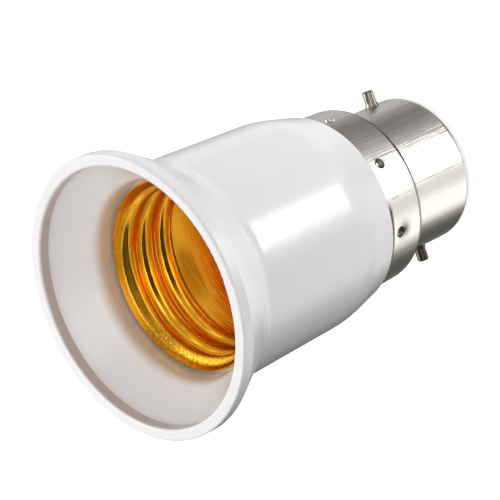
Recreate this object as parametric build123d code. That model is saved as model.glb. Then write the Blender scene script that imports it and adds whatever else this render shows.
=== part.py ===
from build123d import *
import os
from math import atan, ceil, cos, radians, sin, sqrt, tan

# Lamp socket adapter: a bayonet cap below, a screw socket for a lamp above and a housing between them.
# The part stands on the two solder points of its cap, with the mouth of the screw socket upwards.
# The origin is on the axis at the level of those points. +Z points out of the mouth and +X along a lug.
# All sizes are in millimetres.

# Heights, one above the other
solder_proud = 0.55
barrel_length = 13.05
skirt_length = 7.8
shoulder_length = 6.6
body_length = 21.7
flare_length = 7.5
rim_height = 1.8

# Housing
body_d = 33.2
shoulder_d = 31.7
neck_overhang = 0.75
rim_d = 41.6
rim_wall = 1.8
recess_depth = 1.8
socket_depth = 31.0
floor_thickness = 2.4
neck_bore_d = 22.4
spigot_gap = 0.2
spigot_clearance = 0.1
rim_edge_r = 0.35
flare_blend_r = 5.0
shoulder_blend_r = 20.0
neck_edge_r = 0.65
dish_throat = 2.3
dish_lip_r = 2.5
spigot_lead_in = 0.5

# Bayonet cap
barrel_d = 22.0
skirt_step_d = 26.5
skirt_edge_d = 27.1
cap_sheet = 0.4
cap_end_r = 1.0
cap_end_bevel = 0.5
cap_lip = 1.8
step_edge_r = 1.1

# Dimples punched round the skirt
dimple_count = 8
dimple_start_deg = 20.6
dimple_set_back = 2.4
dimple_d = 1.6
dimple_depth = 0.6
dimple_wall = 0.25
dimple_clearance = 0.05

# Bayonet lugs
lug_d = 1.7
lug_reach = 2.35
lug_height = 4.15
lug_tip_bevel = 0.2
lug_head_d = 2.6
lug_head_h = 0.8
lug_collar_d = 2.5
lug_collar_h = 0.55
lug_clearance = 0.03

# Screw shell, with the rounded thread of an Edison screw
thread_pitch = 3.629
thread_major_d = 26.7
thread_minor_d = 24.5
thread_length = 10.2
thread_start_deg = 160.0
arc_chords = 3
shell_sheet = 0.3
shell_clearance = 0.2
shell_bottom_bevel = 0.5
shell_hole_d = 20.4
lip_depth = 9.6
lip_height = 1.2
lip_flare = 0.7
lip_clearance = 0.35
lip_seat = 0.2
tongue_width = 5.0

# Eyelets: the two rivets in the floor and the two contacts in the cap's insulator
eyelet_d = 2.5
eyelet_bore_d = 1.1
eyelet_tail_d = 3.8
eyelet_tail_h = 0.5
eyelet_clearance = 0.05
rivet_head_d = 3.8
rivet_head_h = 0.8
rivet_crown = 0.5
shell_rivet_offset = 8.6
centre_rivet_offset = 5.0

# Centre contact, a strip folded up to the axis
strip_width = 5.5
strip_thickness = 0.4
strip_heel = 2.4
strip_toe = 0.8
strip_rise = 3.2
strip_tip = 3.4
strip_drop = 1.4
strip_bend_r = 1.2

# Insulator, contacts and solder points in the end of the cap
insulator_height = 6.05
insulator_clearance = 0.05
boss_clearance = 0.1
contact_spacing = 10.0
contact_head_d = 5.8
contact_head_h = 0.4
contact_crown = 0.15
contact_recess = 0.6
contact_clearance = 0.1
solder_d = 4.6
solder_flat_d = 3.0
solder_edge_r = 0.4

# Leads
lead_d = 1.7
conductor_d = 0.9
lead_end_gap = 0.2
lead_slack = 2.2
lead_bend_share = 0.45
rivet_grip_of_lead = 2.0

# Levels that follow from the heights
rim_level = solder_proud
step_level = rim_level + barrel_length
edge_level = step_level + skirt_length
shoulder_level = edge_level + shoulder_length
flare_level = shoulder_level + body_length
band_level = flare_level + flare_length
mouth_level = band_level + rim_height
floor_level = mouth_level - socket_depth
under_level = floor_level - floor_thickness
lip_level = mouth_level - lip_depth
thread_top = lip_level - lip_height
thread_bottom = thread_top - thread_length
lug_level = rim_level + lug_height
dimple_level = edge_level - dimple_set_back
insulator_bottom = rim_level + cap_sheet
insulator_top = insulator_bottom + insulator_height
contact_seat = rim_level + contact_recess
contact_face = contact_seat - contact_head_h

# Radii that follow from the diameters
barrel_r = barrel_d / 2
barrel_bore_r = barrel_r - cap_sheet
lug_tip = barrel_r + lug_reach
edge_r = skirt_edge_d / 2
step_r = skirt_step_d / 2
neck_r = edge_r + neck_overhang
major_r = thread_major_d / 2
minor_r = thread_minor_d / 2
shell_r = major_r + shell_sheet
lip_r = shell_r + lip_flare
mouth_r = rim_d / 2 - rim_wall
contact_offset = contact_spacing / 2


def turned(corners):
    """Solid of revolution about Z from corners given as (radius, height, rounding of the corner)."""
    points = [(r, z) for r, z, _ in corners]
    roundings = [rounding for _, _, rounding in corners]
    outline = FilletPolyline(*points, radius=roundings, close=True)
    return revolve(Plane.XZ * make_face(outline), Axis.Z)


def rod(diameter, bottom, top):
    """Upright cylinder on the axis between two heights."""
    on_base = (Align.CENTER, Align.CENTER, Align.MIN)
    return Pos(0, 0, bottom) * Cylinder(diameter / 2, top - bottom, align=on_base)


def skirt_radius(level):
    """Outer radius of the cap's slightly tapered skirt."""
    share = (level - step_level) / skirt_length
    return step_r + (edge_r - step_r) * share


def dimples(grown):
    """Balls that press the punch marks into the skirt, larger by a distance."""
    ball_r = (dimple_d ** 2 / 4 + dimple_depth ** 2) / (2 * dimple_depth)
    middle = skirt_radius(dimple_level) - dimple_depth + ball_r
    ball = Pos(middle, 0, dimple_level) * Rot(0, 90, 0) * Sphere(ball_r + grown)
    return [Rot(0, 0, dimple_start_deg + 360 * k / dimple_count) * ball for k in range(dimple_count)]


def make_housing():
    """Moulding: rim, flare, body, shoulder, spigot, socket and the floor that carries the contacts."""
    spigot_end = step_level + cap_sheet + spigot_gap
    inset = cap_sheet + spigot_clearance
    bore_r = shell_r + shell_clearance
    dish_r = lip_r + lip_clearance
    body = turned([
        (neck_bore_d / 2, spigot_end, 0),
        (skirt_radius(spigot_end) - inset - spigot_lead_in, spigot_end, 0),
        (skirt_radius(spigot_end) - inset, spigot_end + spigot_lead_in, 0),
        (edge_r - inset, edge_level, 0),
        (neck_r, edge_level, neck_edge_r),
        (shoulder_d / 2, shoulder_level, shoulder_blend_r),
        (body_d / 2, flare_level, flare_blend_r),
        (rim_d / 2, band_level, rim_edge_r),
        (rim_d / 2, mouth_level, rim_edge_r),
        (mouth_r, mouth_level, rim_edge_r),
        (mouth_r, mouth_level - recess_depth, 0),
        (dish_r, lip_level + dish_throat, dish_lip_r),
        (dish_r, thread_top - lip_seat, 0),
        (bore_r, thread_top - lip_seat, 0),
        (bore_r, floor_level, 0),
        (0, floor_level, 0),
        (0, under_level, 0),
        (neck_bore_d / 2, under_level, 0),
    ])
    hole = rod(eyelet_d + 2 * eyelet_clearance, under_level, floor_level)
    body -= Pos(0, -centre_rivet_offset, 0) * hole
    body -= Pos(0, shell_rivet_offset, 0) * hole
    for bump in dimples(dimple_wall + dimple_clearance):
        body -= bump
    return body


def make_bayonet_cap():
    """Drawn shell: barrel with a turned-in end, ledge, skirt and its punched dimples."""
    cap = turned([
        (0, rim_level, 0),
        (barrel_r, rim_level, cap_end_r),
        (barrel_r, step_level, 0),
        (step_r, step_level, step_edge_r),
        (edge_r, edge_level, 0),
        (0, edge_level, 0),
    ])
    hollow = turned([
        (0, insulator_bottom, 0),
        (barrel_bore_r - cap_end_bevel, insulator_bottom, 0),
        (barrel_bore_r, insulator_bottom + cap_end_bevel, 0),
        (barrel_bore_r, step_level + cap_sheet, 0),
        (step_r - cap_sheet, step_level + cap_sheet, step_edge_r - cap_sheet),
        (edge_r - cap_sheet, edge_level, 0),
        (0, edge_level, 0),
    ])
    for bump in dimples(dimple_wall):
        hollow -= bump
    cap -= hollow
    cap -= rod(barrel_d - 2 * cap_lip, rim_level, insulator_bottom)
    for pit in dimples(0):
        cap -= pit
    cap -= Pos(0, 0, lug_level) * Rot(0, 90, 0) * Cylinder(lug_d / 2 + lug_clearance, 2 * lug_tip)
    return cap


def make_lug():
    """Cross pin on the +X side: inner head, shank through the barrel's wall and a staked collar."""
    head_face = sqrt(barrel_bore_r ** 2 - (lug_head_d / 2) ** 2)
    pin = turned([
        (0, head_face - lug_head_h, 0),
        (lug_head_d / 2, head_face - lug_head_h, 0),
        (lug_head_d / 2, head_face, 0),
        (lug_d / 2, head_face, 0),
        (lug_d / 2, lug_tip - lug_tip_bevel, 0),
        (lug_d / 2 - lug_tip_bevel, lug_tip, 0),
        (0, lug_tip, 0),
    ])
    collar = Pos(0, 0, barrel_r) * Cone(lug_collar_d / 2, lug_d / 2, 2 * lug_collar_h)
    aim = Pos(0, 0, lug_level) * Rot(0, 90, 0)
    return aim * pin + (aim * collar - rod(barrel_d, 0, step_level))


def wave_points(offset, bottom, half_waves):
    """Points of the thread's line of arcs, root and crest in turn, moved outwards from the lamp's side."""
    quarter = thread_pitch / 4
    lean = 2 * atan((major_r - minor_r) / 2 / quarter)
    arc_r = quarter / sin(lean)
    points = []
    for k in range(half_waves):
        middle = bottom + (k + 0.5) * thread_pitch / 2
        root = k % 2 == 0
        centre = major_r - arc_r if root else minor_r + arc_r
        reach = arc_r + offset if root else offset - arc_r
        spread = abs(reach)
        for j in range(arc_chords):
            turn = lean * (2 * j / arc_chords - 1)
            points.append((centre + reach * cos(turn), middle + spread * sin(turn)))
    return points


def threaded_tube(offset):
    """Thick tube with the thread's form on its outside, longer than the thread, made as two half turns."""
    # Of the three spare pitches, one is lost to the rise of a turn and up to one to the thread's start.
    pitches = ceil(thread_length / thread_pitch) + 3
    crest_level = thread_top - thread_pitch * thread_start_deg / 360
    bottom = crest_level + thread_pitch / 4 - (pitches - 1) * thread_pitch
    wave = wave_points(offset, bottom, 2 * pitches)
    inside_r = minor_r / 2
    first = wave[0]
    last = (first[0], first[1] + pitches * thread_pitch)
    outline = Polyline(*wave, last, (inside_r, last[1]), (inside_r, first[1]), close=True)
    path = Helix(pitch=thread_pitch, height=thread_pitch / 2, radius=inside_r)
    half = sweep(Plane.XZ * make_face(outline), path=path, is_frenet=True)
    other_half = Pos(0, 0, thread_pitch / 2) * Rot(0, 0, 180) * half
    return half + other_half


def make_screw_shell():
    """Rolled sheet: plain bottom with a flange and a tongue, thread, and a turned-out lip at the mouth."""
    ring_top = thread_bottom + shell_sheet
    ring_bottom = thread_top - shell_sheet
    blank = threaded_tube(shell_sheet) & rod(rim_d, thread_bottom, thread_top)
    blank += turned([
        (0, floor_level, 0),
        (shell_r - shell_bottom_bevel, floor_level, 0),
        (shell_r, floor_level + shell_bottom_bevel, 0),
        (shell_r, ring_top, 0),
        (0, ring_top, 0),
    ])
    blank += turned([
        (0, ring_bottom, 0),
        (shell_r, ring_bottom, 0),
        (shell_r, thread_top, 0),
        (lip_r, lip_level, 0),
        (0, lip_level, 0),
    ])
    blank -= threaded_tube(0) & rod(rim_d, thread_bottom, thread_top)
    blank -= turned([
        (0, floor_level + shell_sheet, 0),
        (major_r - shell_bottom_bevel, floor_level + shell_sheet, 0),
        (major_r, floor_level + shell_sheet + shell_bottom_bevel, 0),
        (major_r, thread_bottom, 0),
        (0, thread_bottom, 0),
    ])
    blank -= turned([
        (0, thread_top, 0),
        (major_r, thread_top, 0),
        (lip_r - shell_sheet, lip_level, 0),
        (0, lip_level, 0),
    ])
    blank -= rod(shell_hole_d, thread_bottom, lip_level)
    tongue_end = shell_rivet_offset
    tongue = Pos(0, tongue_end, 0) * rod(tongue_width, floor_level, floor_level + shell_sheet)
    strip = Box(tongue_width, shell_hole_d, shell_sheet, align=(Align.CENTER, Align.MIN, Align.MIN))
    tongue += Pos(0, tongue_end, floor_level) * strip
    shell = blank - (rod(shell_hole_d, floor_level, floor_level + shell_sheet) - tongue)
    shell -= Pos(0, shell_rivet_offset, 0) * rod(eyelet_d + 2 * eyelet_clearance, floor_level, thread_bottom)
    return shell


def make_eyelet(head_d, head_h, crown, grip, bore_depth):
    """Eyelet with its head above height 0, its tail clinched below the grip and its bore open at the tail."""
    eyelet = turned([
        (0, head_h, 0),
        (head_d / 2 - crown, head_h, 0),
        (head_d / 2, head_h - crown, 0),
        (head_d / 2, 0, 0),
        (eyelet_d / 2, 0, 0),
        (eyelet_d / 2, -grip, 0),
        (eyelet_tail_d / 2, -grip, 0),
        (eyelet_tail_d / 2, -grip - eyelet_tail_h, 0),
        (0, -grip - eyelet_tail_h, 0),
    ])
    tail_end = -grip - eyelet_tail_h
    return eyelet - rod(eyelet_bore_d, tail_end, tail_end + bore_depth)


def make_rivet(offset, plate):
    """Rivet through the floor and the plate that it holds down, with a hollow tail for its lead."""
    grip = plate + floor_thickness
    rivet = make_eyelet(rivet_head_d, rivet_head_h, rivet_crown, grip, grip)
    return Pos(0, offset, floor_level + plate) * rivet


def make_centre_contact():
    """Folded strip: flat under its rivet, a rise to the axis and a short turned-down tip."""
    middle = floor_level + strip_thickness / 2
    heel = -centre_rivet_offset - strip_heel
    toe = -centre_rivet_offset + rivet_head_d / 2 + strip_toe
    top = middle + strip_rise
    bends = [(heel, middle), (toe, middle), (0, top), (strip_tip, top - strip_drop)]
    line = FilletPolyline(*bends, radius=[strip_bend_r, strip_bend_r])
    strip = extrude(Plane.YZ * trace(line, strip_thickness), strip_width / 2, both=True)
    hole = rod(eyelet_d + 2 * eyelet_clearance, floor_level, floor_level + strip_thickness)
    return strip - Pos(0, -centre_rivet_offset, 0) * hole


def make_insulator():
    """Disc in the end of the barrel, with seats for the contacts and pockets round the lugs' heads."""
    disc_r = barrel_bore_r - insulator_clearance
    disc = turned([
        (0, insulator_bottom, 0),
        (disc_r - cap_end_bevel, insulator_bottom, 0),
        (disc_r, insulator_bottom + cap_end_bevel, 0),
        (disc_r, insulator_top, 0),
        (0, insulator_top, 0),
    ])
    disc += rod(barrel_d - 2 * cap_lip - 2 * boss_clearance, rim_level, insulator_bottom)
    seat = rod(contact_head_d + 2 * contact_clearance, rim_level, contact_seat)
    seat += rod(eyelet_d + 2 * eyelet_clearance, rim_level, insulator_top)
    pocket_r = lug_head_d / 2 + lug_clearance
    head_back = sqrt(barrel_bore_r ** 2 - (lug_head_d / 2) ** 2) - lug_head_h - lug_clearance
    pocket = Pos(0, 0, lug_level) * Rot(0, 90, 0) * rod(2 * pocket_r, head_back, barrel_r)
    for side in (1, -1):
        disc -= Pos(0, side * contact_offset, 0) * seat
        disc -= Rot(0, 0, 90 - 90 * side) * pocket
    return disc


def make_contact():
    """Contact eyelet, head down, through the insulator."""
    grip = insulator_top - contact_seat
    length = contact_head_h + grip + eyelet_tail_h
    contact = make_eyelet(contact_head_d, contact_head_h, contact_crown, grip, length)
    return Pos(0, 0, contact_seat) * Rot(180, 0, 0) * contact


def make_solder():
    """Flattened solder point on a contact's head."""
    return turned([
        (0, contact_face, 0),
        (solder_d / 2, contact_face, 0),
        (solder_flat_d / 2, 0, solder_edge_r),
        (0, 0, 0),
    ])


def bend_radii(points):
    """Largest rounding of each bend that its two runs leave room for."""
    radii = []
    for before, here, after in zip(points, points[1:], points[2:]):
        run_in = Vector(here) - Vector(before)
        run_out = Vector(after) - Vector(here)
        half_turn = radians(run_in.get_angle(run_out)) / 2
        radii.append(lead_bend_share * min(run_in.length, run_out.length) / tan(half_turn))
    return radii


def make_lead(top_offset, bottom_offset, sway):
    """Insulated lead from a rivet's tail down to a contact's tail, with bare ends inside both eyelets."""
    top = under_level - eyelet_tail_h - lead_end_gap
    bottom = insulator_top + eyelet_tail_h + lead_end_gap
    run = (top - bottom) / 4
    points = [
        (0, top_offset, top),
        (0, top_offset, top - run),
        (0, (top_offset + bottom_offset) / 2 + sway, top - 2 * run),
        (0, bottom_offset, bottom + run),
        (0, bottom_offset, bottom),
    ]
    path = FilletPolyline(*points, radius=bend_radii(points))
    lead = sweep(Plane(origin=points[0], z_dir=(0, 0, -1)) * Circle(lead_d / 2), path=path)
    lead += Pos(0, top_offset, 0) * rod(conductor_d, top, top + lead_end_gap + rivet_grip_of_lead)
    lead += Pos(0, bottom_offset, 0) * rod(conductor_d, contact_face, bottom)
    return lead


lug = make_lug()
contact = make_contact()
solder = make_solder()
parts = {
    "housing": make_housing(),
    "screw_shell": make_screw_shell(),
    "centre_contact": make_centre_contact(),
    "centre_rivet": make_rivet(-centre_rivet_offset, strip_thickness),
    "shell_rivet": make_rivet(shell_rivet_offset, shell_sheet),
    "centre_lead": make_lead(-centre_rivet_offset, -contact_offset, lead_slack),
    "shell_lead": make_lead(shell_rivet_offset, contact_offset, -lead_slack),
    "bayonet_cap": make_bayonet_cap(),
    "bayonet_lug_1": lug,
    "bayonet_lug_2": Rot(0, 0, 180) * lug,
    "cap_insulator": make_insulator(),
    "contact_1": Pos(0, -contact_offset, 0) * contact,
    "contact_2": Pos(0, contact_offset, 0) * contact,
    "solder_1": Pos(0, -contact_offset, 0) * solder,
    "solder_2": Pos(0, contact_offset, 0) * solder,
}

os.makedirs("parts", exist_ok=True)
for name, solid in parts.items():
    export_step(solid, f"parts/{name}.step")
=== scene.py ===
"""Looks of a lamp socket adapter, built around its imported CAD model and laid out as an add-on."""

import math

import bmesh
import bpy
from bpy.props import FloatProperty, FloatVectorProperty, IntProperty, PointerProperty
from mathutils import Euler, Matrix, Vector, noise


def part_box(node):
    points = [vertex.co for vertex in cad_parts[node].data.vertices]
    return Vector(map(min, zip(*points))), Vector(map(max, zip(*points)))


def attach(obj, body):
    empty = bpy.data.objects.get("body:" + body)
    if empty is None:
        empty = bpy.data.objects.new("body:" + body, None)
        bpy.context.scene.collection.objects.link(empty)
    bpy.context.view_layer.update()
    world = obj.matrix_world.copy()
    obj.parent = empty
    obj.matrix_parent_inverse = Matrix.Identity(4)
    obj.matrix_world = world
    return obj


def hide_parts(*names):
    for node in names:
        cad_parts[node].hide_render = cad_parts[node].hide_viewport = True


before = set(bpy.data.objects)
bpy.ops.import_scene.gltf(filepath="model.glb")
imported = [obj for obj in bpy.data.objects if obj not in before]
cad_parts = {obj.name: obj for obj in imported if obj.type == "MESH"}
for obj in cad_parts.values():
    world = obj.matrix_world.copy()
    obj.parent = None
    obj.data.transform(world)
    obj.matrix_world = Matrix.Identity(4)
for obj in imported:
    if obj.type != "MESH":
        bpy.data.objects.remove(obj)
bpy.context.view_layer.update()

bl_info = {
    "name": "Lamp socket adapter",
    "version": (1, 0, 0),
    "blender": (4, 5, 0),
    "location": "View3D > Sidebar > Adapter",
    "description": "Finishes, a finer screw shell and a stage for the solids of a lamp socket adapter",
    "category": "Object",
}

BODY = "root"
MM = 0.001
WHITE = (1.0, 1.0, 1.0, 1.0)

shell_low, shell_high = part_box("screw_shell")


def length(name, description, default):
    """A size in metres that a user may change."""
    return FloatProperty(
        name=name, description=description, default=default, min=0.0, unit="LENGTH", precision=5
    )


def colour(name, description, default):
    """A linear colour that a user may change."""
    return FloatVectorProperty(
        name=name, description=description, default=default, min=0.0, max=1.0, subtype="COLOR"
    )


def number(name, description, default, highest=1.0, **kind):
    """A number with its unit or subtype, if it has one, that a user may change."""
    return FloatProperty(name=name, description=description, default=default, min=0.0, max=highest, **kind)


class AdapterShellSizes(bpy.types.PropertyGroup):
    """Sizes of the rolled screw shell"""

    bottom: length("Bottom", "Height of the flange's underside", shell_low.z)
    top: length("Top", "Height of the turned-out lip's edge", shell_high.z)
    pitch: length("Pitch", "Rise of the thread in one turn", 3.629 * MM)
    major: length("Major diameter", "Inner diameter over the thread's grooves", 26.7 * MM)
    minor: length("Minor diameter", "Inner diameter over the thread's crests", 24.5 * MM)
    sheet: length("Sheet", "Thickness of the rolled sheet", 0.3 * MM)
    lip: length("Lip height", "Height of the turned-out lip", 1.2 * MM)
    lip_flare: length("Lip flare", "How far the lip turns out", 0.7 * MM)
    thread: length("Thread length", "Height of the threaded part", 10.2 * MM)
    run_out: length("Run-out", "Height over which the thread fades at its bottom", 1.3 * MM)
    run_in: length("Run-in", "Height over which the thread turns into the lip", 1.0 * MM)
    hole: length("Hole", "Diameter of the hole in the flange", 20.4 * MM)
    tongue: length("Tongue width", "Width of the tongue that the rivet holds", 5.0 * MM)
    rivet: length("Rivet offset", "Distance of the tongue's rivet from the axis", 8.6 * MM)
    start: FloatProperty(
        name="Thread start", description="Angle of the crest at the thread's top",
        default=math.radians(160.0), subtype="ANGLE",
    )
    around: IntProperty(name="Steps around", description="Steps round the shell", default=216, min=48)
    per_pitch: IntProperty(
        name="Steps per pitch", description="Rows in one turn of the thread", default=26, min=8
    )


class AdapterColours(bpy.types.PropertyGroup):
    """Colours of the finishes"""

    plastic: colour("Plastic", "Glossy white housing", (0.79, 0.777, 0.777))
    # This colour is a painted warm reflection of the gold on the housing round the screw shell
    throat_gold_reflection: colour("Throat", "Stain on the housing round the screw shell", (0.82, 0.755, 0.645))
    gold: colour("Gold", "Lacquered screw shell", (0.95, 0.555, 0.036))
    gold_dirt: colour("Gold dirt", "Dull grains on the lip of the screw shell", (0.42, 0.25, 0.02))
    # This colour also paints shade: the shell darker and more orange towards its bottom
    gold_film_and_shade: colour("Deep gold", "Dull film on parts of the screw shell", (0.93, 0.40, 0.02))
    nickel: colour("Nickel", "Plated bayonet cap", (0.64, 0.62, 0.59))
    nickel_film: colour("Nickel film", "Dull film on the plating", (0.40, 0.38, 0.36))
    # This colour is painted shade of a dent beside a dimple
    nickel_dent_shade: colour("Smear", "Brown smear beside a dimple", (0.05, 0.04, 0.032))
    # This colour is painted shade in the dimples, at the step and at the housing's edge, and darkens lines
    # along the axis
    nickel_shade_and_lines: colour("Dirt", "Dirt in dimples, draw marks and edges", (0.06, 0.055, 0.05))
    pin: colour("Lug", "Plating of the lugs", (0.36, 0.325, 0.27))
    # This colour is painted shade over one lug and on the lugs' edges
    pin_shade: colour("Tarnish", "Tarnish of one lug", (0.075, 0.065, 0.055))
    brass: colour("Brass", "Contacts and rivets", (0.76, 0.52, 0.2))
    insulator: colour("Insulator", "Moulded disc in the end of the cap", (0.012, 0.012, 0.013))
    solder: colour("Solder", "Flattened solder points", (0.5, 0.5, 0.49))
    lead_brown: colour("Brown lead", "Sleeve of one lead", (0.09, 0.03, 0.012))
    lead_blue: colour("Blue lead", "Sleeve of the other lead", (0.012, 0.05, 0.2))


class AdapterStage(bpy.types.PropertyGroup):
    """Floor, lamps and camera"""

    floor: colour("Floor", "Colour of the floor", (0.88, 0.88, 0.88))
    floor_size: length("Floor size", "Side of the floor", 6.0)
    floor_lift: number(
        "Floor lift", "How far the camera sees the floor lifted towards white", 0.6, subtype="FACTOR"
    )
    overhead: number("Overhead light", "Level of the soft light straight above the mouth", 2.15, 50.0)
    zenith: number("Zenith light", "Level of the narrow light straight above the mouth", 6.0, 200.0)
    base_light: number("Base light", "Level of the even light from all sides", 0.09, 5.0)
    key: number("Key lamp", "Power of the key lamp", 3.5, 50.0, unit="POWER")
    fill: number("Fill lamp", "Power of the fill lamp", 2.85, 50.0, unit="POWER")
    softbox: number("Softbox", "Brightness of the softbox in reflections", 8.0, 50.0)
    surround: number("Surround", "Brightness of the pale cards in reflections", 1.0, 50.0)
    focal_px: number("Focal length", "Focal length of the photograph", 2800.0, 20000.0, subtype="PIXEL")
    picture_px: number("Picture width", "Width of the photograph", 500.0, 20000.0, subtype="PIXEL")
    sensor: number("Sensor", "Width of the camera's sensor", 36.0, 100.0, unit="CAMERA")


def add(tree, kind, inputs=None, **settings):
    """A node with its settings, whose inputs are values or the sockets that feed them."""
    made = tree.nodes.new(kind)
    for name, value in settings.items():
        setattr(made, name, value)
    for key, value in (inputs or {}).items():
        if isinstance(value, bpy.types.NodeSocket):
            tree.links.new(value, made.inputs[key])
        else:
            made.inputs[key].default_value = value
    return made


def maths(tree, operation, *values):
    """A maths node's result."""
    return add(tree, "ShaderNodeMath", dict(enumerate(values)), operation=operation).outputs[0]


def product(tree, first, second):
    """Two values multiplied."""
    return maths(tree, "MULTIPLY", first, second)


def greatest(tree, first, *others):
    """The greatest of some values."""
    for other in others:
        first = maths(tree, "MAXIMUM", first, other)
    return first


def scaled(tree, vector, factor):
    """A vector or colour times a value."""
    return add(tree, "ShaderNodeVectorMath", {0: vector, "Scale": factor}, operation="SCALE").outputs[0]


def ranged(tree, value, low, high, to_low=0.0, to_high=1.0, smooth=False):
    """A value mapped from one range to another and held there."""
    made = add(
        tree, "ShaderNodeMapRange",
        {"Value": value, "From Min": low, "From Max": high, "To Min": to_low, "To Max": to_high},
        interpolation_type="SMOOTHSTEP" if smooth else "LINEAR",
    )
    return made.outputs["Result"]


def spread(tree, value, low, high):
    """A value from 0 to 1 mapped to a range."""
    return ranged(tree, value, 0.0, 1.0, low, high)


def window(tree, value, rise, fall):
    """1 between two soft edges, 0 outside them."""
    up = ranged(tree, value, *rise, smooth=True)
    down = ranged(tree, value, *fall, 1.0, 0.0, smooth=True)
    return product(tree, up, down)


# Sockets of a mix node that blends colours
MIX_SHARE, MIX_FIRST, MIX_SECOND, MIX_RESULT = 0, 6, 7, 2


def mixed(tree, share_of_second, first, second):
    """A blend of two colours."""
    inputs = {MIX_SHARE: share_of_second, MIX_FIRST: first, MIX_SECOND: second}
    return add(tree, "ShaderNodeMix", inputs, data_type="RGBA").outputs[MIX_RESULT]


def opaque(rgb):
    """A colour with full alpha."""
    return (*rgb, 1.0)


def noise_value(tree, vector, scale, detail=2.0, roughness=0.5):
    """Smooth noise from 0 to 1."""
    inputs = {"Vector": vector, "Scale": scale, "Detail": detail, "Roughness": roughness}
    return add(tree, "ShaderNodeTexNoise", inputs).outputs["Fac"]


def part_place(tree):
    """A place on the part, whole and split into X, Y and Z."""
    place = add(tree, "ShaderNodeTexCoord").outputs["Object"]
    return place, add(tree, "ShaderNodeSeparateXYZ", {"Vector": place}).outputs


def across_axis(tree, split):
    """A place without its height."""
    return add(tree, "ShaderNodeCombineXYZ", {"X": split["X"], "Y": split["Y"]}).outputs[0]


def axis_distance(tree, split):
    """How far a place is from the axis."""
    across = across_axis(tree, split)
    return add(tree, "ShaderNodeVectorMath", {0: across}, operation="LENGTH").outputs["Value"]


def new_group(name, inputs, outputs):
    """An empty shader node group with named number sockets, and its input and output nodes."""
    group = bpy.data.node_groups.new(name, "ShaderNodeTree")
    for socket_name, default in inputs:
        socket = group.interface.new_socket(socket_name, in_out="INPUT", socket_type="NodeSocketFloat")
        socket.default_value = default
    for socket_name in outputs:
        group.interface.new_socket(socket_name, in_out="OUTPUT", socket_type="NodeSocketFloat")
    return group, group.nodes.new("NodeGroupInput").outputs, group.nodes.new("NodeGroupOutput").inputs


# Fine streaks: their roughness in the noise, and the scale and edges of the broad bands among them
STREAK_ROUGHNESS = 0.65
BAND_SCALE = 0.23
BAND_EDGES = (0.38, 0.62)


def axis_streaks_group():
    """Fine streaks on a turned or drawn surface: along the axis, or round it, by the two densities."""
    group, given, result = new_group(
        "axis_streaks", (("Around", 60.0), ("Along", 60.0), ("Detail", 2.0)), ("Streaks", "Bands")
    )
    _, split = part_place(group)
    across = across_axis(group, split)
    ring = add(group, "ShaderNodeVectorMath", {0: across}, operation="NORMALIZE").outputs[0]
    around = scaled(group, ring, given["Around"])
    along = add(group, "ShaderNodeCombineXYZ", {"Z": product(group, split["Z"], given["Along"])}).outputs[0]
    where = add(group, "ShaderNodeVectorMath", {0: around, 1: along}, operation="ADD").outputs[0]
    streaks = noise_value(group, where, 1.0, given["Detail"], STREAK_ROUGHNESS)
    group.links.new(streaks, result["Streaks"])
    bands = noise_value(group, where, BAND_SCALE, detail=1.0)
    group.links.new(ranged(group, bands, *BAND_EDGES), result["Bands"])
    return group


# Traces of handling at scale 1, in features per metre: smudges, specks, patches of specks, ripple
SMUDGE_DENSITY = 110.0
SPECK_DENSITY = 900.0
PATCH_DENSITY = 420.0
RIPPLE_DENSITY = 1400.0

# Edges of smudges and patches in their noise, and of specks by distance from their middles
SMUDGE_EDGES = (0.42, 0.68)
SPECK_EDGES = (0.05, 0.12)
PATCH_EDGES = (0.6, 0.66)


def handling_group():
    """Traces of handling: broad smudges, fine specks and a shallow ripple."""
    group, given, result = new_group("handling", (("Scale", 1.0),), ("Smudges", "Specks", "Ripple"))
    place, _ = part_place(group)
    where = scaled(group, place, given["Scale"])
    smudges = noise_value(group, where, SMUDGE_DENSITY, detail=4.0, roughness=0.6)
    group.links.new(ranged(group, smudges, *SMUDGE_EDGES), result["Smudges"])
    cells = add(group, "ShaderNodeTexVoronoi", {"Vector": where, "Scale": SPECK_DENSITY})
    specks = ranged(group, cells.outputs["Distance"], *SPECK_EDGES, 1.0, 0.0)
    patches = ranged(group, noise_value(group, where, PATCH_DENSITY, detail=1.0), *PATCH_EDGES)
    group.links.new(product(group, specks, patches), result["Specks"])
    group.links.new(noise_value(group, where, RIPPLE_DENSITY), result["Ripple"])
    return group


# Dimples of the cap: number, angle of the first, radius of the skirt and level
DIMPLE_COUNT = 8
DIMPLE_START = math.radians(20.6)
DIMPLE_RADIUS = 13.5 * MM
DIMPLE_LEVEL = 19.0 * MM

# Rings of painted shade in the dimples: inner and outer edge, range of X over which they fade, what is left
# of them
RING_RISE = (0.22 * MM, 0.42 * MM)
RING_FALL = (0.78 * MM, 0.98 * MM)
RING_SIDE = (6.0 * MM, 11.0 * MM)
RING_LEAST = 0.1

# Painted shade of a dent beside the dimples of the -X side, as a brown patch: offset round the skirt and
# up, width, range of X
DENT_SHADE_OFFSET = (0.1 * MM, -0.85 * MM)
DENT_SHADE_WIDTH = 1.1 * MM
DENT_SHADE_SIDE = (-2.0 * MM, -4.0 * MM)

# The painted dark line along the edge of the step, a painted reflection of its rounded edge: heights where
# it begins and ends
STEP_RISE = (13.7 * MM, 13.85 * MM)
STEP_FALL = (14.5 * MM, 14.85 * MM)

# Dark lines along the axis: their angles, the angles from their middles over which they end, and their gaps
DARK_LINE_ANGLES = (math.radians(-65.5), math.radians(-92.3))
DARK_LINE_WIDTHS = (0.003, 0.010)
GAP_DENSITY = 700.0
GAP_EDGES = (0.35, 0.55)

# The painted contact shadow at the housing's edge: heights, and the range of X in which it begins
EDGE_SHADE_HEIGHTS = (20.2 * MM, 20.6 * MM)
EDGE_SHADE_SIDE = (-0.5 * MM, -2.0 * MM)


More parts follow.
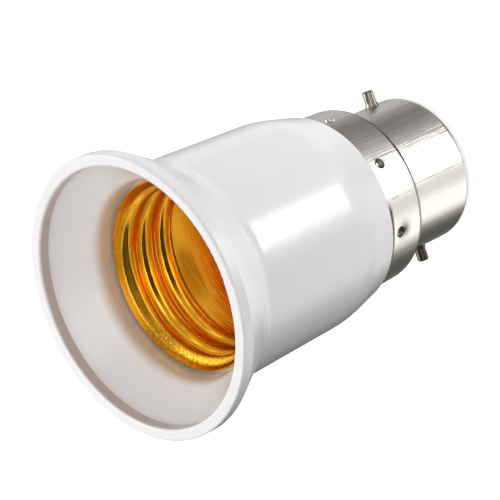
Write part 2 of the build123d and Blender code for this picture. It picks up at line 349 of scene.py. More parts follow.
def cap_shade_and_lines_group():
    """Masks by their place on the cap: painted shade in and beside the dimples, dark lines along the axis
    and painted shade along two edges.
    """
    group, _, result = new_group("cap_shade_and_lines", (), ("Rings", "DentShades", "Lines", "Step", "EdgeShade"))
    place, split = part_place(group)
    angle = maths(group, "ARCTAN2", split["Y"], split["X"])
    half_step = math.pi / DIMPLE_COUNT
    turned = maths(group, "WRAP", maths(group, "SUBTRACT", angle, DIMPLE_START), half_step, -half_step)
    offset = add(group, "ShaderNodeCombineXYZ", {
        "X": product(group, turned, DIMPLE_RADIUS), "Y": maths(group, "SUBTRACT", split["Z"], DIMPLE_LEVEL),
    }).outputs[0]
    distance = add(group, "ShaderNodeVectorMath", {0: offset}, operation="LENGTH").outputs["Value"]
    # Painted shade in the dimples, fading towards +X
    rings = window(group, distance, RING_RISE, RING_FALL)
    fading = ranged(group, split["X"], *RING_SIDE, 1.0, RING_LEAST)
    group.links.new(product(group, rings, fading), result["Rings"])
    # Painted shade of a dent beside the dimples, on the -X side
    aside = add(group, "ShaderNodeVectorMath", {0: offset, 1: (*DENT_SHADE_OFFSET, 0.0)}, operation="DISTANCE")
    squared = maths(group, "POWER", maths(group, "DIVIDE", aside.outputs["Value"], DENT_SHADE_WIDTH), 2.0)
    bell = maths(group, "EXPONENT", product(group, squared, -1.0))
    group.links.new(product(group, bell, ranged(group, split["X"], *DENT_SHADE_SIDE)), result["DentShades"])
    # Painted dark reflection along the step's rounded edge
    group.links.new(window(group, split["Z"], STEP_RISE, STEP_FALL), result["Step"])
    near = []
    for mark in DARK_LINE_ANGLES:
        apart = maths(group, "ABSOLUTE", maths(group, "SUBTRACT", angle, mark))
        near.append(ranged(group, apart, *DARK_LINE_WIDTHS, 1.0, 0.0))
    broken = ranged(group, noise_value(group, place, GAP_DENSITY), *GAP_EDGES)
    group.links.new(product(group, greatest(group, *near), broken), result["Lines"])
    # Painted contact shadow under the housing's edge, on the -X side
    heights = ranged(group, split["Z"], *EDGE_SHADE_HEIGHTS)
    group.links.new(product(group, heights, ranged(group, split["X"], *EDGE_SHADE_SIDE)), result["EdgeShade"])
    return group


def group_node(tree, name, **values):
    """A shared effect placed in a material with its own values."""
    builders = {
        "axis_streaks": axis_streaks_group, "handling": handling_group, "cap_shade_and_lines": cap_shade_and_lines_group,
    }
    made = tree.nodes.new("ShaderNodeGroup")
    made.node_tree = bpy.data.node_groups.get(name) or builders[name]()
    for key, value in values.items():
        made.inputs[key].default_value = value
    return made.outputs


def new_finish(name, **constants):
    """A material with one Principled shader, its node tree and that shader's inputs."""
    material = bpy.data.materials.new(name)
    material.use_nodes = True
    tree = material.node_tree
    tree.nodes.clear()
    shader = add(tree, "ShaderNodeBsdfPrincipled", constants)
    add(tree, "ShaderNodeOutputMaterial", {"Surface": shader.outputs[0]})
    return material, tree, shader.inputs


def bump(tree, height, depth, under=None):
    """A normal from a height, over another normal if one is given."""
    inputs = {"Height": height, "Distance": depth}
    if under is not None:
        inputs["Normal"] = under
    return add(tree, "ShaderNodeBump", inputs).outputs[0]


def handled(tree, shader, tone, worn, rough, ripple, scale):
    """Gives a shader smudges and a ripple. Returns the tone with smudges, worn being their share of it."""
    traces = group_node(tree, "handling", Scale=scale)
    tree.links.new(spread(tree, traces["Smudges"], *rough), shader["Roughness"])
    tree.links.new(bump(tree, traces["Ripple"], ripple), shader["Normal"])
    return mixed(tree, traces["Smudges"], opaque(tone), opaque(Vector(tone) * worn))


def turned_away(tree):
    """How far a surface turns from the eye, from 0 to 1."""
    return add(tree, "ShaderNodeLayerWeight").outputs["Facing"]


# Where the housing round the screw shell gets a painted warm reflection of the gold: radii over which it
# ends, heights over which it begins
THROAT_RADII = (14.4 * MM, 15.4 * MM)
THROAT_HEIGHTS = (46.0 * MM, 48.0 * MM)

# How far the body turns from the eye where painted shade darkens it, and the share of its tone that it
# keeps there
PLASTIC_SHADE_EDGES = (0.74, 0.95)
EDGE_SHADE_TONE = 0.62

# Heights over which the flare ends this painted shade
FLARE_HEIGHTS = (46.0 * MM, 50.0 * MM)


def plastic_finish(colours):
    """Glossy white moulding with matt smudges, painted shade at its edges and a painted warm reflection of
    the gold round the screw shell, faintly rippled.
    """
    material, tree, shader = new_finish("moulded_white", IOR=1.5)
    tone = colours.plastic
    plain = handled(tree, shader, tone, worn=0.985, rough=(0.1, 0.16), ripple=0.004 * MM, scale=1.0)
    _, split = part_place(tree)
    # Painted shade: the body darker where it turns from the eye, below the flare
    below_flare = ranged(tree, split["Z"], *FLARE_HEIGHTS, 1.0, 0.0)
    edge_shade = product(tree, ranged(tree, turned_away(tree), *PLASTIC_SHADE_EDGES), below_flare)
    edge_shaded = mixed(tree, edge_shade, plain, opaque(Vector(tone) * EDGE_SHADE_TONE))
    # Painted warm reflection of the gold on the housing round the screw shell
    near_axis = ranged(tree, axis_distance(tree, split), *THROAT_RADII, 1.0, 0.0, smooth=True)
    throat_gold_reflection = product(tree, near_axis, ranged(tree, split["Z"], *THROAT_HEIGHTS, smooth=True))
    tree.links.new(mixed(tree, throat_gold_reflection, edge_shaded, opaque(colours.throat_gold_reflection)), shader["Base Color"])
    return material


# Range of the streaks' noise that shows
STREAK_EDGES = (0.3, 0.7)

# Rolling lines of the screw shell: densities round and along the axis, roughness between and on them, depth
ROLLED_AROUND = 2.0
ROLLED_ALONG = 2600.0
ROLLED_ROUGH = (0.09, 0.16)
ROLLED_DEPTH = 0.03 * MM

# What smudges add to the roughness of the gold, and the depth of its ripple
GOLD_SMUDGE = 0.06
GOLD_RIPPLE = 0.006 * MM

# Grain of the screw shell's cut edge: heights over which it begins, grains per metre and depth
GRAIN_HEIGHTS = (47.6 * MM, 48.9 * MM)
GRAIN_DENSITY = 4500.0
GRAIN_DEPTH = 0.035 * MM

# On the -X side the grain reaches further down: heights, range of X, spots per metre and their edges
WORN_HEIGHTS = (46.6 * MM, 47.6 * MM)
WORN_SIDE = (-3.0 * MM, -9.0 * MM)
SPOT_DENSITY = 2600.0
SPOT_EDGES = (0.45, 0.65)

# The film on bands and on the thread's flanks: its shares, and radii over which it begins and ends
BAND_FILM = 0.3
FLANK_FILM = 0.9
FLANK_RADII = ((12.4 * MM, 12.55 * MM), (12.95 * MM, 13.15 * MM))

# Heights over which the film thins out above the shell's bottom: painted shade, darker and more orange deep
# in the shell
DEEP_SHADE_HEIGHTS = (33.5 * MM, 38.0 * MM)


def gold_finish(colours):
    """Lacquered rolled sheet: bright, with rolling lines round the axis, a duller film, painted shade
    towards its bottom and a worn lip.
    """
    material, tree, shader = new_finish("gold_lacquer", Metallic=0.96)
    lines = group_node(tree, "axis_streaks", Around=ROLLED_AROUND, Along=ROLLED_ALONG)
    traces = group_node(tree, "handling", Scale=2.0)
    place, split = part_place(tree)
    worn_side = ranged(tree, split["X"], *WORN_SIDE, smooth=True)
    worn = product(tree, ranged(tree, split["Z"], *WORN_HEIGHTS, smooth=True), worn_side)
    near_lip = greatest(tree, ranged(tree, split["Z"], *GRAIN_HEIGHTS, smooth=True), worn)
    bands = product(tree, lines["Bands"], BAND_FILM)
    flanks = product(tree, window(tree, axis_distance(tree, split), *FLANK_RADII), FLANK_FILM)
    # The film also holds painted shade: darker, more orange gold towards the shell's bottom
    film = greatest(tree, bands, flanks, near_lip, ranged(tree, split["Z"], *DEEP_SHADE_HEIGHTS, 1.0, 0.0))
    plain = mixed(tree, film, opaque(colours.gold), opaque(colours.gold_film_and_shade))
    spots = product(tree, ranged(tree, noise_value(tree, place, SPOT_DENSITY), *SPOT_EDGES), worn)
    tree.links.new(mixed(tree, spots, plain, opaque(colours.gold_dirt)), shader["Base Color"])
    rolled_rough = ranged(tree, lines["Streaks"], *STREAK_EDGES, *ROLLED_ROUGH)
    rough = maths(tree, "ADD", rolled_rough, product(tree, traces["Smudges"], GOLD_SMUDGE))
    tree.links.new(rough, shader["Roughness"])
    rippled = bump(tree, traces["Ripple"], GOLD_RIPPLE)
    rolled = bump(tree, lines["Streaks"], ROLLED_DEPTH, under=rippled)
    grain = product(tree, noise_value(tree, place, GRAIN_DENSITY), near_lip)
    tree.links.new(bump(tree, grain, GRAIN_DEPTH, under=rolled), shader["Normal"])
    return material


# Draw lines of the cap: densities round and along the axis, roughness between and on them, depth
DRAWN_AROUND = 75.0
DRAWN_ALONG = 45.0
DRAWN_ROUGH = (0.12, 0.2)
DRAWN_DEPTH = 0.014 * MM

# Range of X in which the draw lines grow, and their least share
DRAWN_SIDE = (-4.0 * MM, 5.0 * MM)
DRAWN_LEAST = 0.25

# What smudges add to the roughness of the plating
NICKEL_SMUDGE = 0.04

# How much film the draw lines and specks have, how much painted shade the rings and step have, and how dark
# the lines along the axis are
DRAWN_FILM = 0.6
SPECK_FILM = 0.5
RING_SHADE = 0.65
LINE_DARKENING = 0.5
STEP_SHADE = 0.7


def nickel_finish(colours):
    """Plated drawn sheet, with draw lines along the axis, painted shade in and beside the dimples and at
    two edges, and dark lines along the axis.
    """
    material, tree, shader = new_finish("nickel_plate", Metallic=1.0)
    lines = group_node(tree, "axis_streaks", Around=DRAWN_AROUND, Along=DRAWN_ALONG)
    traces = group_node(tree, "handling", Scale=1.6)
    cap_masks = group_node(tree, "cap_shade_and_lines")
    _, split = part_place(tree)
    drawn = ranged(tree, split["X"], *DRAWN_SIDE, DRAWN_LEAST, 1.0, smooth=True)
    streaks = product(tree, ranged(tree, lines["Streaks"], *STREAK_EDGES), drawn)
    specks = product(tree, traces["Specks"], SPECK_FILM)
    film = maths(tree, "ADD", product(tree, streaks, DRAWN_FILM), specks)
    plain = mixed(tree, film, opaque(colours.nickel), opaque(colours.nickel_film))
    # Painted shade of a dent beside the dimples
    dent_shaded = mixed(tree, cap_masks["DentShades"], plain, opaque(colours.nickel_dent_shade))
    # Painted shade in the dimples, at the step and at the housing's edge, and dark lines along the axis
    shade_and_lines = greatest(
        tree, product(tree, cap_masks["Rings"], RING_SHADE), product(tree, cap_masks["Lines"], LINE_DARKENING),
        product(tree, cap_masks["Step"], STEP_SHADE), cap_masks["EdgeShade"],
    )
    tree.links.new(mixed(tree, shade_and_lines, dent_shaded, opaque(colours.nickel_shade_and_lines)), shader["Base Color"])
    smudges = product(tree, traces["Smudges"], NICKEL_SMUDGE)
    tree.links.new(maths(tree, "ADD", spread(tree, streaks, *DRAWN_ROUGH), smudges), shader["Roughness"])
    tree.links.new(bump(tree, streaks, DRAWN_DEPTH), shader["Normal"])
    return material


# How far the lugs' sides turn from the eye where their painted edge shade begins and ends
PIN_SHADE_EDGES = (0.35, 0.75)

# Range of X over which the painted shade of the lug on the -X side ends
LUG_SHADE_SIDE = (0.0, 1.0 * MM)


def lug_finish(colours):
    """Plated pins, a little rubbed, with painted shade on their edges and over the whole lug on the -X
    side.
    """
    material, tree, shader = new_finish("plated_pins", Metallic=1.0)
    plain = handled(tree, shader, colours.pin, worn=0.8, rough=(0.16, 0.3), ripple=0.012 * MM, scale=4.0)
    _, split = part_place(tree)
    # Painted shade over the lug on the -X side and on the lugs' edges
    lug_shade = ranged(tree, split["X"], *LUG_SHADE_SIDE, 1.0, 0.0)
    dark = greatest(tree, lug_shade, ranged(tree, turned_away(tree), *PIN_SHADE_EDGES))
    tree.links.new(mixed(tree, dark, plain, opaque(colours.pin_shade)), shader["Base Color"])
    return material


def brass_finish(colours):
    """Plain brass with matt patches."""
    material, tree, shader = new_finish("rolled_brass", Metallic=0.45)
    plain = handled(tree, shader, colours.brass, worn=0.72, rough=(0.4, 0.55), ripple=0.01 * MM, scale=3.0)
    tree.links.new(plain, shader["Base Color"])
    return material


# How much dust lies on the insulator, and how much paler it is
DUST_SHARE = 0.5
DUST_TONE = Vector((0.08, 0.08, 0.08))


def insulator_finish(colours):
    """Black moulded disc with a slight gloss and pale dust."""
    material, tree, shader = new_finish("moulded_black", IOR=1.5)
    tone = Vector(colours.insulator)
    scale = 2.5
    plain = handled(tree, shader, tone, worn=1.0, rough=(0.22, 0.42), ripple=0.01 * MM, scale=scale)
    dust = product(tree, group_node(tree, "handling", Scale=scale)["Specks"], DUST_SHARE)
    tree.links.new(mixed(tree, dust, plain, opaque(tone + DUST_TONE)), shader["Base Color"])
    return material


def solder_finish(colours):
    """Dull tin with a wavy skin."""
    material, tree, shader = new_finish("flattened_solder", Metallic=1.0)
    plain = handled(tree, shader, colours.solder, worn=0.7, rough=(0.28, 0.5), ripple=0.04 * MM, scale=2.2)
    tree.links.new(plain, shader["Base Color"])
    return material


def sleeve_finish(name, tone):
    """Soft plastic sleeve of a lead."""
    material, tree, shader = new_finish(name, IOR=1.48)
    plain = handled(tree, shader, tone, worn=0.8, rough=(0.4, 0.55), ripple=0.01 * MM, scale=3.0)
    tree.links.new(plain, shader["Base Color"])
    return material


def dress(material, *nodes):
    """Puts a finish on the material slots of CAD nodes."""
    for name in nodes:
        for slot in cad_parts[name].material_slots:
            slot.material = material


# Curve of the turned-out lip, and the share of the sheet's thickness that its edge keeps
LIP_CURVE = 1.1
LIP_EDGE = 0.3

# The cut edge of the lip is a little ragged: depth, and notches round the edge
RAGGED_DEPTH = 0.05 * MM
RAGGED_DENSITY = 14.0

# Where the bend above the flange has its middle point, as a share of the bend
BEND_MIDDLE = 0.3

# Rows of the plain wall below the thread, fewest rows of the thread, and the least angle of a sharp edge
PLAIN_ROWS = 6
LEAST_ROWS = 8
SHARP_ANGLE = math.radians(50.0)


def smooth_step(value):
    """Runs smoothly from 0 to 1."""
    value = min(max(value, 0.0), 1.0)
    return value * value * (3 - 2 * value)


def thread_radius(sizes, turn, height):
    """Inner radius of the thread at an angle and a height: arcs of crest and groove in one line."""
    outer, inner = sizes.major / 2, sizes.minor / 2
    quarter = sizes.pitch / 4
    lean = 2 * math.atan((outer - inner) / 2 / quarter)
    arc = quarter / math.sin(lean)
    top = sizes.top - sizes.lip
    crest = top + sizes.pitch * (turn - sizes.start) / math.tau
    place = (height - crest + quarter) % sizes.pitch - quarter
    if place < quarter:
        wave = inner + arc - math.sqrt(arc ** 2 - place ** 2)
    else:
        wave = outer - arc + math.sqrt(arc ** 2 - (place - 2 * quarter) ** 2)
    fade = smooth_step((height - top + sizes.thread) / sizes.run_out)
    lip_share = max(height - top, 0.0) / sizes.lip
    lip = outer + (sizes.lip_flare - sizes.sheet * LIP_EDGE) * lip_share ** LIP_CURVE
    turned_out = smooth_step((height - top) / sizes.run_in + 0.5)
    wave = outer + (wave - outer) * fade
    return wave + (lip - wave) * turned_out


def flange_reach(sizes, turn):
    """Inner radius of the shell's flange: the hole, and the tongue on the +Y side."""
    side = abs(math.cos(turn))
    half = sizes.tongue / 2
    if math.sin(turn) > 0 and sizes.rivet * side < half:
        return sizes.rivet * math.sin(turn) - math.sqrt(half ** 2 - (sizes.rivet * side) ** 2)
    if math.sin(turn) > 0 and sizes.hole / 2 * side < half:
        return half / side
    return sizes.hole / 2


def shell_section(sizes, turn):
    """The shell's closed section at one angle, as radius and height."""
    bottom = sizes.top - sizes.lip - sizes.thread
    rise = sizes.thread + sizes.lip
    rows = max(LEAST_ROWS, round(rise / sizes.pitch * sizes.per_pitch))
    reach = flange_reach(sizes, turn)
    wall = sizes.major / 2
    flange_top = sizes.bottom + sizes.sheet
    bend = 2 * sizes.sheet
    corner = bend * BEND_MIDDLE
    flange = [(reach, flange_top), (wall - bend, flange_top), (wall - corner, flange_top + corner)]
    low = flange_top + bend
    inside = [(wall, low + (bottom - low) * k / PLAIN_ROWS) for k in range(PLAIN_ROWS)]
    for k in range(rows + 1):
        height = bottom + rise * k / rows
        inside.append((thread_radius(sizes, turn, height), height))
    notch = RAGGED_DEPTH * noise.noise(Vector((math.cos(turn), math.sin(turn), 0.0)) * RAGGED_DENSITY)
    edge_r, edge_z = inside[-1][0], inside[-1][1] - abs(notch)
    inside[-1] = (edge_r, edge_z)
    outside = [(r + sizes.sheet, z) for r, z in inside[1:]]
    outside[-1] = (edge_r + sizes.sheet * LIP_EDGE, edge_z)
    foot = [
        (wall + sizes.sheet, sizes.bottom + bend),
        (wall + sizes.sheet - bend, sizes.bottom),
        (reach, sizes.bottom),
    ]
    return flange + inside + outside[::-1] + foot


def build_shell(sizes):
    """Mesh of the screw shell: its section carried round the axis."""
    mesh = bmesh.new()
    columns = []
    for k in range(sizes.around):
        turn = math.tau * k / sizes.around
        section = shell_section(sizes, turn)
        columns.append([mesh.verts.new((r * math.cos(turn), r * math.sin(turn), z)) for r, z in section])
    count = len(columns[0])
    for k, column in enumerate(columns):
        following = columns[(k + 1) % len(columns)]
        for j in range(count):
            above = (j + 1) % count
            face = mesh.faces.new((column[j], column[above], following[above], following[j]))
            face.smooth = True
    bmesh.ops.recalc_face_normals(mesh, faces=mesh.faces)
    data = bpy.data.meshes.new("screw_shell_fine")
    mesh.to_mesh(data)
    mesh.free()
    data.set_sharp_from_angle(angle=SHARP_ANGLE)
    piece = bpy.data.objects.new("screw_shell_fine", data)
    bpy.context.scene.collection.objects.link(piece)
    return piece


class ADAPTER_OT_housing(bpy.types.Operator):
    """Gives the housing its glossy white finish"""

    bl_idname = "adapter.housing"
    bl_label = "Housing"

    def execute(self, context):
        dress(plastic_finish(context.scene.adapter_colours), "housing")
        return {"FINISHED"}


class ADAPTER_OT_screw_shell(bpy.types.Operator):
    """Builds the rolled screw shell with its smooth thread, in place of the solid"""

    bl_idname = "adapter.screw_shell"
    bl_label = "Screw shell"

    def execute(self, context):
        piece = build_shell(context.scene.adapter_shell)
        piece.data.materials.append(gold_finish(context.scene.adapter_colours))
        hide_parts("screw_shell")
        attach(piece, BODY)
        return {"FINISHED"}


class ADAPTER_OT_bayonet_cap(bpy.types.Operator):
    """Gives the bayonet cap and its lugs their plated finish"""

    bl_idname = "adapter.bayonet_cap"
    bl_label = "Bayonet cap and lugs"

    def execute(self, context):
        colours = context.scene.adapter_colours
        dress(nickel_finish(colours), "bayonet_cap")
        dress(lug_finish(colours), "bayonet_lug_1", "bayonet_lug_2")
        return {"FINISHED"}


class ADAPTER_OT_contacts(bpy.types.Operator):
    """Finishes the contacts, rivets, leads, insulator and solder points"""

    bl_idname = "adapter.contacts"
    bl_label = "Contacts, leads and insulator"

    def execute(self, context):
        colours = context.scene.adapter_colours
        dress(
            brass_finish(colours), "centre_contact", "centre_rivet", "shell_rivet", "contact_1", "contact_2"
        )
        dress(insulator_finish(colours), "cap_insulator")
        dress(solder_finish(colours), "solder_1", "solder_2")
        dress(sleeve_finish("brown_sleeve", colours.lead_brown), "centre_lead")
        dress(sleeve_finish("blue_sleeve", colours.lead_blue), "shell_lead")
        return {"FINISHED"}


# The photograph's camera: place, turns about X, Y and Z in degrees, bearing from the part, near limit
CAMERA_PLACE = (0.050161, -0.297517, 0.292224)
CAMERA_TURN = (-26.7551, 43.6009, -116.4686)
CAMERA_BEARING = -80.3
CAMERA_NEAR = 0.01

# Lamps as in the photograph, where the part lies on its side: places, sizes and what they point at
KEY_PLACE = (0.085, -0.438, -0.37)
KEY_SIZE = 0.45
FILL_PLACE = (0.56, 0.12, -0.17)
FILL_SIZE = 0.5
LAMP_AIM = (0.0, 0.0, 0.03)

# Brightness of the cards round the part, by bearing in degrees, and the brightness at a ramp's 1
CARD_STOPS = (
    (-180.0, (0.46, 0.44, 0.40)),
    (-172.0, (1.15, 1.13, 1.04)),
    (-163.0, (1.75, 1.73, 1.62)),
    (-147.0, (1.8, 1.78, 1.68)),
    (-137.0, (1.62, 1.60, 1.50)),
    (-126.0, (1.22, 1.21, 1.15)),
    (-114.0, (1.15, 1.15, 1.10)),
    (-105.0, (1.30, 1.30, 1.26)),
    (-101.0, (1.9, 1.9, 1.9)),
    (-62.0, (1.9, 1.9, 1.9)),
    (-54.0, (1.45, 1.45, 1.41)),
    (-44.0, (1.02, 1.0, 0.97)),
    (-34.0, (0.72, 0.71, 0.69)),
    (-24.0, (0.46, 0.45, 0.435)),
    (-12.0, (0.42, 0.41, 0.40)),
    (4.0, (0.26, 0.255, 0.25)),
    (26.0, (0.40, 0.39, 0.385)),
    (44.0, (0.92, 0.905, 0.9)),
    (60.0, (0.70, 0.69, 0.68)),
    (90.0, (0.44, 0.42, 0.41)),
    (112.0, (0.22, 0.21, 0.2)),
    (142.0, (0.12, 0.12, 0.11)),
    (164.0, (0.16, 0.155, 0.145)),
    (180.0, (0.46, 0.44, 0.40)),
)
CARD_TOP = 2.0

# Brightness on the camera's side of the part and on the far side, by the sine of the elevation
AHEAD_STOPS = (
    (-1.0, 1.3), (-0.93, 1.3), (-0.87, 1.2), (-0.82, 1.1), (-0.36, 0.3), (-0.2, 0.3),
    (0.10, 0.9), (0.56, 0.9), (0.64, 2.6), (0.70, 2.6), (0.76, 0.03), (1.0, 0.03),
)
BEHIND_STOPS = (
    (-1.0, 0.1), (-0.84, 0.12), (-0.36, 0.3), (-0.2, 0.5), (0.30, 1.6), (0.44, 3.2), (0.56, 2.6),
    (0.62, 1.6), (0.68, 1.6), (0.76, 7.5), (0.92, 7.5), (0.98, 0.04), (1.0, 0.04),
)
PROFILE_TOP = 8.0

# Where the camera's side begins, as the share of a direction that points to it, and the cards' heights
FRONT_EDGES = (-0.5, -0.2)
CARD_HEIGHTS = ((-0.84, -0.76), (-0.60, -0.36))

# The sky is dimmer at both sides: edges of the lit part along X, level outside it, heights of its start
LIT_SIDE = ((-0.5, 0.05), (0.45, 0.75))
DIM_LEVEL = 0.38
DIM_HEIGHTS = (-0.1, 0.2)

# Straight down it is darker on the +X side: range of X, heights over which this ends and level
SHADE_SIDE = (0.0, 0.22)
SHADE_HEIGHTS = (-0.9, -0.8)
SHADE_LEVEL = 0.1

# High up the sky is paler on the +X side: range of X, heights where this begins and level
PALE_SIDE = (0.12, 0.42)
PALE_HEIGHTS = (0.70, 0.80)
PALE_LEVEL = 0.55

# How fast the two soft lights above the mouth fall off away from the zenith
BROAD_FALL = 4.0
NARROW_FALL = 40.0

# The softbox in reflections: bearings in degrees, and the sine of the elevation, each with its soft edge
SOFTBOX_BEARINGS = ((-100.0, -84.0), (-69.0, -55.0))
SOFTBOX_HEIGHTS = ((-0.75, -0.71), (-0.656, -0.642))


def ramp(tree, value, reach, stops, top):
    """Colours over the range from -reach to reach, as shares of the top brightness."""
    made = add(tree, "ShaderNodeValToRGB", {"Fac": ranged(tree, value, -reach, reach)})
    elements = made.color_ramp.elements
    while len(elements) < len(stops):
        elements.new(0.5)
    for element, (place, tone) in zip(elements, stops):
        element.position = (place / reach + 1.0) / 2
        element.color = opaque(Vector(tone) / top)
    return made.outputs["Color"]


def height_profile(tree, height, stops):
    """Grey brightness at a sine of the elevation."""
    return ramp(tree, height, 1.0, [(sine, (level, level, level)) for sine, level in stops], PROFILE_TOP)


def sky_colours(tree, split):
    """The surround above and below the cards: dimmed at the sides, shaded low down and paler high up."""
    height = split["Z"]
    ahead = math.radians(CAMERA_BEARING)
    along_x = product(tree, split["X"], math.cos(ahead))
    towards = maths(tree, "ADD", along_x, product(tree, split["Y"], math.sin(ahead)))
    front = ranged(tree, towards, *FRONT_EDGES, smooth=True)
    behind_profile = height_profile(tree, height, BEHIND_STOPS)
    profile = mixed(tree, front, behind_profile, height_profile(tree, height, AHEAD_STOPS))
    dimmed = spread(tree, window(tree, split["X"], *LIT_SIDE), DIM_LEVEL, 1.0)
    side = spread(tree, ranged(tree, height, *DIM_HEIGHTS), 1.0, dimmed)
    shade_side = ranged(tree, split["X"], *SHADE_SIDE, smooth=True)
    shade = product(tree, shade_side, ranged(tree, height, *SHADE_HEIGHTS, 1.0, 0.0))
    side = product(tree, side, spread(tree, shade, 1.0, SHADE_LEVEL))
    levels = scaled(tree, profile, product(tree, side, PROFILE_TOP))
    pale_side = ranged(tree, split["X"], *PALE_SIDE, smooth=True)
    pale = product(tree, pale_side, ranged(tree, height, *PALE_HEIGHTS, 0.0, PALE_LEVEL))
    return add(tree, "ShaderNodeVectorMath", {0: levels, 1: pale}, operation="ADD").outputs[0]


def studio_reflections(tree, direction, stage):
    """What shiny surfaces show: cards and a softbox low down, a dark horizon in front and a pale sky."""
    split = add(tree, "ShaderNodeSeparateXYZ", {"Vector": direction}).outputs
    bearing = maths(tree, "ARCTAN2", split["Y"], split["X"])
    card_stops = [(math.radians(angle), tone) for angle, tone in CARD_STOPS]
    cards = scaled(tree, ramp(tree, bearing, math.pi, card_stops, CARD_TOP), CARD_TOP)
    low = window(tree, split["Z"], *CARD_HEIGHTS)
    surround = mixed(tree, low, sky_colours(tree, split), cards)
    shown = add(tree, "ShaderNodeBackground", {"Color": surround, "Strength": stage.surround}).outputs[0]
    edges = [[math.radians(angle) for angle in edge] for edge in SOFTBOX_BEARINGS]
    box = product(tree, window(tree, bearing, *edges), window(tree, split["Z"], *SOFTBOX_HEIGHTS))
    power = product(tree, box, stage.softbox)
    lamp = add(tree, "ShaderNodeBackground", {"Color": WHITE, "Strength": power}).outputs[0]
    return add(tree, "ShaderNodeAddShader", {0: shown, 1: lamp}).outputs[0]


def build_world(scene, stage):
    """Soft light from above for the surfaces, a studio for the reflections and white for the camera."""
    world = bpy.data.worlds.new("studio")
    scene.world = world
    world.use_nodes = True
    tree = world.node_tree
    tree.nodes.clear()
    direction = add(tree, "ShaderNodeTexCoord").outputs["Generated"]
    height = add(tree, "ShaderNodeSeparateXYZ", {"Vector": direction}).outputs["Z"]
    rising = maths(tree, "MAXIMUM", height, 0.0)
    broad = product(tree, maths(tree, "POWER", rising, BROAD_FALL), stage.overhead)
    narrow = product(tree, maths(tree, "POWER", rising, NARROW_FALL), stage.zenith)
    level = maths(tree, "ADD", maths(tree, "ADD", broad, narrow), stage.base_light)
    soft = add(tree, "ShaderNodeBackground", {"Color": WHITE, "Strength": level}).outputs[0]
    mirrored = studio_reflections(tree, direction, stage)
    seen = add(tree, "ShaderNodeBackground", {"Color": WHITE, "Strength": 1.0}).outputs[0]
    path = add(tree, "ShaderNodeLightPath").outputs
    shown = maths(tree, "MAXIMUM", path["Is Camera Ray"], path["Is Transmission Ray"])
    light = add(tree, "ShaderNodeMixShader", {0: path["Is Glossy Ray"], 1: soft, 2: mirrored}).outputs[0]
    final = add(tree, "ShaderNodeMixShader", {0: shown, 1: light, 2: seen}).outputs[0]
    add(tree, "ShaderNodeOutputWorld", {"Surface": final})


def floor_finish(stage):
    """Pale floor, lifted towards white where the camera sees it."""
    material, tree, shader = new_finish("pale_floor", **{"Roughness": 0.9, "Specular IOR Level": 0.0})
    shader["Base Color"].default_value = opaque(stage.floor)
    path = add(tree, "ShaderNodeLightPath").outputs
    shader["Emission Color"].default_value = WHITE
    tree.links.new(product(tree, path["Is Camera Ray"], stage.floor_lift), shader["Emission Strength"])
    return material


def area_lamp(name, place, size, power):
    """A soft square lamp that points at the part and doesn't show in reflections."""
    data = bpy.data.lights.new(name, "AREA")
    data.size = size
    data.energy = power
    lamp = bpy.data.objects.new(name, data)
    lamp.location = place
    lamp.rotation_euler = (Vector(LAMP_AIM) - Vector(place)).to_track_quat("-Z", "Y").to_euler()
    lamp.visible_glossy = False
    bpy.context.scene.collection.objects.link(lamp)


def build_floor(scene, stage):
    """The floor, which neither lights nor shades the part, as the lamps lie below its level."""
    half = stage.floor_size / 2
    corners = [(-half, -half, 0.0), (half, -half, 0.0), (half, half, 0.0), (-half, half, 0.0)]
    data = bpy.data.meshes.new("floor")
    data.from_pydata(corners, [], [(0, 1, 2, 3)])
    data.materials.append(floor_finish(stage))
    floor = bpy.data.objects.new("floor", data)
    floor.visible_glossy = False
    floor.visible_diffuse = False
    floor.visible_shadow = False
    scene.collection.objects.link(floor)
    return floor


def build_camera(scene, stage):
    """The photograph's camera."""
    lens = bpy.data.cameras.new("camera")
    lens.sensor_width = stage.sensor
    lens.lens = stage.focal_px / stage.picture_px * stage.sensor
    lens.clip_start = CAMERA_NEAR
    camera = bpy.data.objects.new("camera", lens)
    camera.location = CAMERA_PLACE
    camera.rotation_euler = Euler([math.radians(turn) for turn in CAMERA_TURN], "XYZ")
    scene.collection.objects.link(camera)
    scene.camera = camera


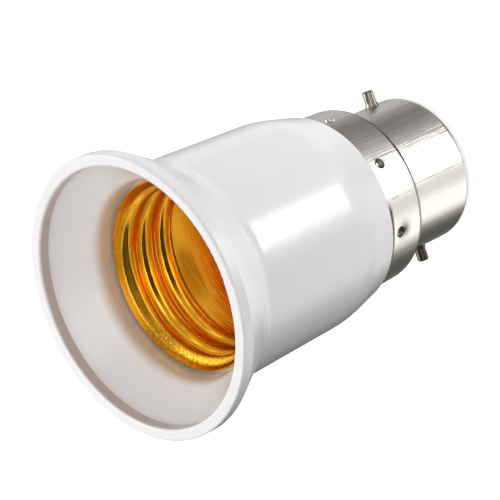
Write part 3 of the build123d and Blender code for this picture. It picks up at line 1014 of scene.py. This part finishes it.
class ADAPTER_OT_stage(bpy.types.Operator):
    """Sets the floor, the lamps, the surround and the camera"""

    bl_idname = "adapter.stage"
    bl_label = "Stage"

    def execute(self, context):
        scene = context.scene
        stage = scene.adapter_stage
        floor = build_floor(scene, stage)
        build_world(scene, stage)
        area_lamp("key", KEY_PLACE, KEY_SIZE, stage.key)
        area_lamp("fill", FILL_PLACE, FILL_SIZE, stage.fill)
        build_camera(scene, stage)
        scene.view_settings.view_transform = "Standard"
        return {"FINISHED"}


class ADAPTER_PT_panel(bpy.types.Panel):
    """Lists the adapter's operators, sizes and colours"""

    bl_label = "Lamp socket adapter"
    bl_idname = "ADAPTER_PT_panel"
    bl_space_type = "VIEW_3D"
    bl_region_type = "UI"
    bl_category = "Adapter"

    def draw(self, context):
        for operator in OPERATORS:
            self.layout.operator(operator.bl_idname)
        scene = context.scene
        for group in (scene.adapter_shell, scene.adapter_colours, scene.adapter_stage):
            box = self.layout.box()
            for name in group.__annotations__:
                box.prop(group, name)


OPERATORS = (
    ADAPTER_OT_housing,
    ADAPTER_OT_screw_shell,
    ADAPTER_OT_bayonet_cap,
    ADAPTER_OT_contacts,
    ADAPTER_OT_stage,
)
CLASSES = (AdapterShellSizes, AdapterColours, AdapterStage, *OPERATORS, ADAPTER_PT_panel)


def register():
    """Registers the classes and the scene's settings."""
    for item in CLASSES:
        bpy.utils.register_class(item)
    bpy.types.Scene.adapter_shell = PointerProperty(type=AdapterShellSizes)
    bpy.types.Scene.adapter_colours = PointerProperty(type=AdapterColours)
    bpy.types.Scene.adapter_stage = PointerProperty(type=AdapterStage)


def unregister():
    """Removes the scene's settings and the classes."""
    del bpy.types.Scene.adapter_shell
    del bpy.types.Scene.adapter_colours
    del bpy.types.Scene.adapter_stage
    for item in reversed(CLASSES):
        bpy.utils.unregister_class(item)


def main():
    """Runs every operator in order."""
    register()
    bpy.ops.adapter.housing()
    bpy.ops.adapter.screw_shell()
    bpy.ops.adapter.bayonet_cap()
    bpy.ops.adapter.contacts()
    bpy.ops.adapter.stage()


if __name__ == "__main__":
    main()
